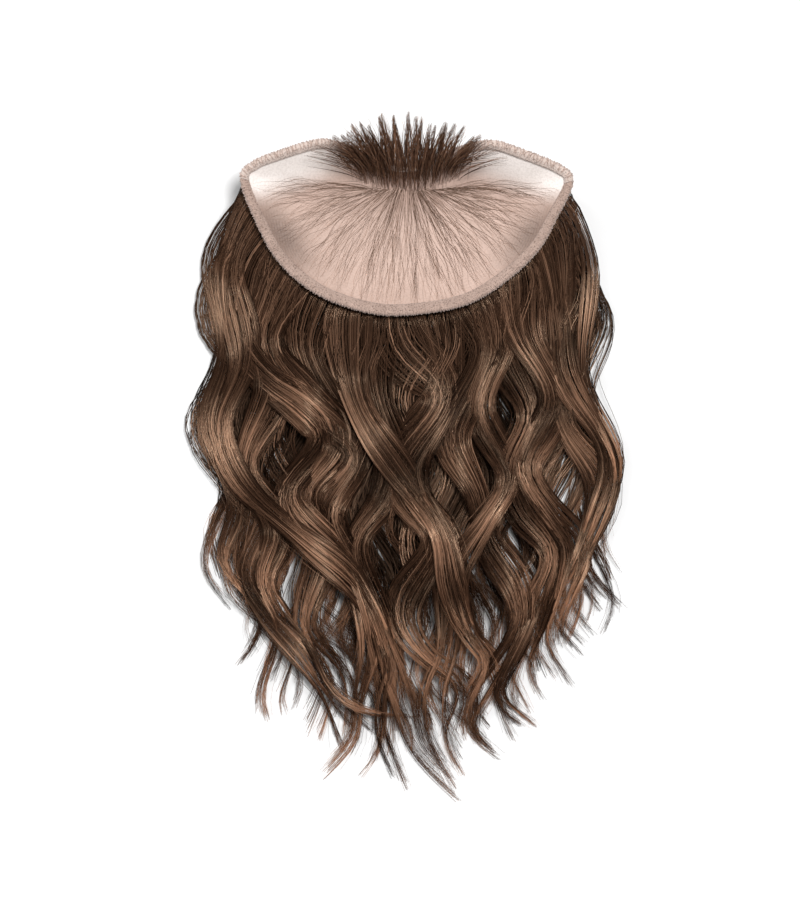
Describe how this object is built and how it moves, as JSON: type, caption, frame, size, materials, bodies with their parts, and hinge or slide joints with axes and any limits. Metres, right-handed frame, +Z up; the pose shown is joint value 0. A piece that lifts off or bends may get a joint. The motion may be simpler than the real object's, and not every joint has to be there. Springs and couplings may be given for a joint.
{
  "type": "hair topper",
  "caption": "Hair topper lying inside up: a shallow bound lace base with a short front tuft, and long wavy brown hair spread out from beneath its back edge.",
  "frame": {"origin": "middle of the footprint on the surface that the hair lies on", "axes": "+Y from the hair's tips towards the tuft at the front, +Z up out of the base's open inside, +X to the right seen from above"},
  "size_m": [0.2494, 0.4006, 0.0543],
  "materials": {
    "silk_lace": "skin-coloured silk and fine lace, paler at the front corners",
    "back_tape": "fuzzy felt-like tape with overlocked edges",
    "front_hem": "pale folded lace hem with two stitch lines",
    "tuft_hair": "short dark brown hair",
    "top_hair": "glossy wavy brown hair",
    "main_hair": "wavy brown hair",
    "under_hair": "dark brown hair"
  },
  "bodies": {
    "root": {"base_cap": "silk_lace", "back_binding": "back_tape", "front_binding": "front_hem", "crown_tuft": "tuft_hair", "top_locks": "top_hair", "main_hair": "main_hair", "under_hair": "under_hair"}
  },
  "joints": []
}
